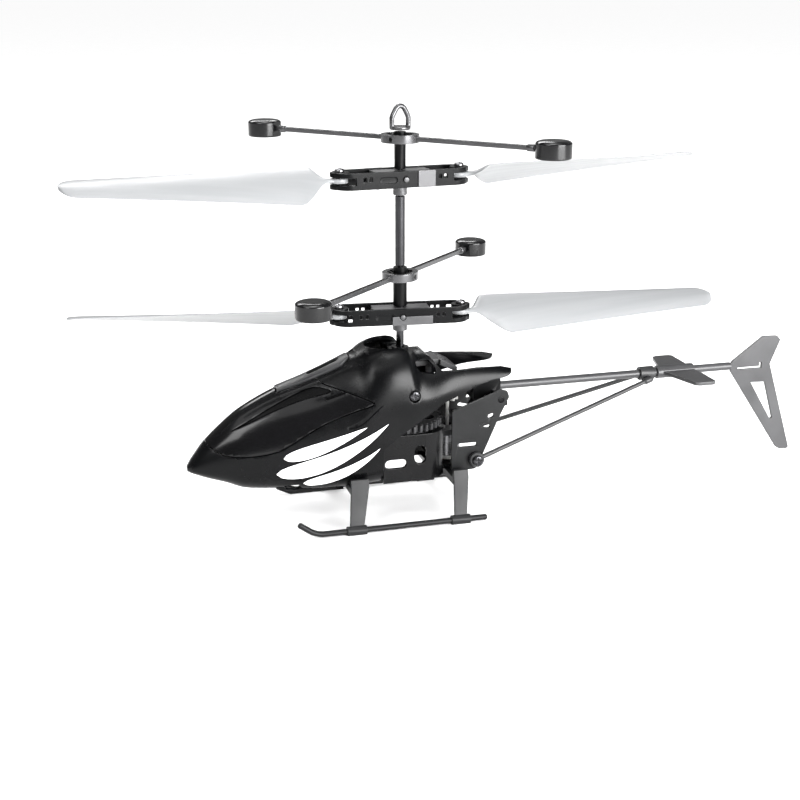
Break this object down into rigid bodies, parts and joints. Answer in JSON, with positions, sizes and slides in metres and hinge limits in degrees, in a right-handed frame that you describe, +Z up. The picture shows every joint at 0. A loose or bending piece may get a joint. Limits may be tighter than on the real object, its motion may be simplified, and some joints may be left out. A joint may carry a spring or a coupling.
{
  "type": "remote control helicopter",
  "caption": "Toy coaxial helicopter with two counter-rotating folding-blade rotors, weighted flybars, a hollow canopy, geared mast, braced tail boom with fin, and tube skids.",
  "frame": {"origin": "middle of the bounding box in plan, on the plane the skids stand on; the mast axis is at x = -0.01757 m, y = 0", "axes": "+X towards the tail, nose at -X; +Y towards the right side of the helicopter; +Z up along the mast"},
  "size_m": [0.2118, 0.0756, 0.1125],
  "materials": {
    "canopy_plastic": "dark grey metallic plastic, satin gloss",
    "window_plastic": "polished black plastic",
    "trim_plastic": "dark grey moulded plastic, fine grain",
    "frame_metal": "dark grey paint, satin",
    "dark_plastic": "near-black moulded plastic",
    "hub_metal": "grey paint, satin",
    "steel": "turned steel",
    "bar_plastic": "dark metallic plastic, gloss",
    "weight_plastic": "black plastic, gloss",
    "blade_plastic": "milky translucent flexible plastic",
    "gear_plastic": "black nylon",
    "tail_metal": "mid grey paint, satin",
    "battery_wrap": "shrink-wrapped pouch",
    "board_green": "green circuit board",
    "white_plastic": "off-white nylon"
  },
  "bodies": {
    "airframe": {"canopy_body": "canopy_plastic", "windshield": "window_plastic", "crown_panel": "trim_plastic", "chassis_shell": "frame_metal", "mast_frame": "trim_plastic", "side_plate_left": "frame_metal", "side_plate_right": "frame_metal", "boom_clamp": "dark_plastic", "battery": "battery_wrap", "circuit_board": "board_green", "motor_front": "steel", "motor_rear": "steel", "lower_bearing": "dark_plastic", "deck_bearing": "dark_plastic", "tail_boom": "tail_metal", "tail_fin": "tail_metal", "tail_plane": "tail_metal", "strut_left": "trim_plastic", "strut_right": "trim_plastic", "strut_clip": "trim_plastic", "skid_left": "frame_metal", "skid_right": "frame_metal", "leg_front": "frame_metal", "leg_rear": "frame_metal", "strut_screw_left": "steel", "strut_screw_right": "steel", "canopy_screw_left": "steel", "canopy_screw_right": "steel"},
    "upper_rotor": {"inner_shaft": "steel", "lower_gear": "gear_plastic", "mast_sleeve": "dark_plastic", "upper_hub_core": "hub_metal", "upper_flybar_post": "dark_plastic", "top_loop": "dark_plastic"},
    "lower_rotor": {"outer_shaft": "steel", "upper_gear": "gear_plastic", "lower_hub_core": "hub_metal", "lower_flybar_post": "dark_plastic"},
    "upper_hub": {"upper_hub_frame": "dark_plastic", "upper_blade_pin_a": "steel", "upper_blade_pin_b": "steel"},
    "lower_hub": {"lower_hub_frame": "dark_plastic", "lower_blade_pin_a": "steel", "lower_blade_pin_b": "steel"},
    "upper_blade_a": {"upper_blade_a": "blade_plastic"},
    "upper_blade_b": {"upper_blade_b": "blade_plastic"},
    "lower_blade_a": {"lower_blade_a": "blade_plastic"},
    "lower_blade_b": {"lower_blade_b": "blade_plastic"},
    "upper_flybar": {"upper_flybar": "bar_plastic", "upper_weight_a": "weight_plastic", "upper_weight_b": "weight_plastic"},
    "lower_flybar": {"lower_flybar": "bar_plastic", "lower_weight_a": "weight_plastic", "lower_weight_b": "weight_plastic"},
    "front_pinion": {"pinion_front": "white_plastic"},
    "rear_pinion": {"pinion_rear": "white_plastic"},
    "power_switch": {"power_switch": "white_plastic"}
  },
  "joints": [
    {"name": "upper_rotor_spin", "type": "hinge", "parent": "airframe", "child": "upper_rotor", "pos_m": [-0.01757, 0, 0.05], "axis": [0, 0, 1], "continuous": true},
    {"name": "lower_rotor_spin", "type": "hinge", "parent": "airframe", "child": "lower_rotor", "pos_m": [-0.01757, 0, 0.05], "axis": [0, 0, 1], "continuous": true},
    {"name": "upper_hub_teeter", "type": "hinge", "parent": "upper_rotor", "child": "upper_hub", "pos_m": [-0.01757, 0, 0.0932], "axis": [-0.0837, 0.9965, 0], "range_deg": [-6, 6]},
    {"name": "upper_flybar_tilt", "type": "hinge", "parent": "upper_rotor", "child": "upper_flybar", "pos_m": [-0.01757, 0, 0.1035], "axis": [0.7431, 0.6691, 0], "range_deg": [-15, 15]},
    {"name": "upper_blade_a_fold", "type": "hinge", "parent": "upper_hub", "child": "upper_blade_a", "pos_m": [-0.00083, 0.00141, 0.0932], "axis": [0, 0, 1], "range_deg": [-40, 40]},
    {"name": "upper_blade_b_fold", "type": "hinge", "parent": "upper_hub", "child": "upper_blade_b", "pos_m": [-0.03431, -0.00141, 0.0932], "axis": [0, 0, 1], "range_deg": [-40, 40]},
    {"name": "lower_hub_teeter", "type": "hinge", "parent": "lower_rotor", "child": "lower_hub", "pos_m": [-0.01757, 0, 0.0562], "axis": [0.1045, 0.9945, 0], "range_deg": [-6, 6]},
    {"name": "lower_flybar_tilt", "type": "hinge", "parent": "lower_rotor", "child": "lower_flybar", "pos_m": [-0.01757, 0, 0.0668], "axis": [-0.7242, 0.6896, 0], "range_deg": [-15, 15]},
    {"name": "lower_blade_a_fold", "type": "hinge", "parent": "lower_hub", "child": "lower_blade_a", "pos_m": [-0.00086, -0.00176, 0.0562], "axis": [0, 0, 1], "range_deg": [-40, 40]},
    {"name": "lower_blade_b_fold", "type": "hinge", "parent": "lower_hub", "child": "lower_blade_b", "pos_m": [-0.03428, 0.00176, 0.0562], "axis": [0, 0, 1], "range_deg": [-40, 40]},
    {"name": "front_pinion_spin", "type": "hinge", "parent": "airframe", "child": "front_pinion", "pos_m": [-0.03137, 0, 0.0262], "axis": [0, 0, 1], "continuous": true},
    {"name": "rear_pinion_spin", "type": "hinge", "parent": "airframe", "child": "rear_pinion", "pos_m": [-0.00377, 0, 0.0318], "axis": [0, 0, 1], "continuous": true},
    {"name": "power_switch_slide", "type": "slide", "parent": "airframe", "child": "power_switch", "axis": [1, 0, 0], "range_m": [0, 0.0012]}
  ],
  "couplings": [
    {"joint": "front_pinion_spin", "follows": "upper_rotor_spin", "ratio": -4.75},
    {"joint": "rear_pinion_spin", "follows": "lower_rotor_spin", "ratio": -4.75}
  ]
}
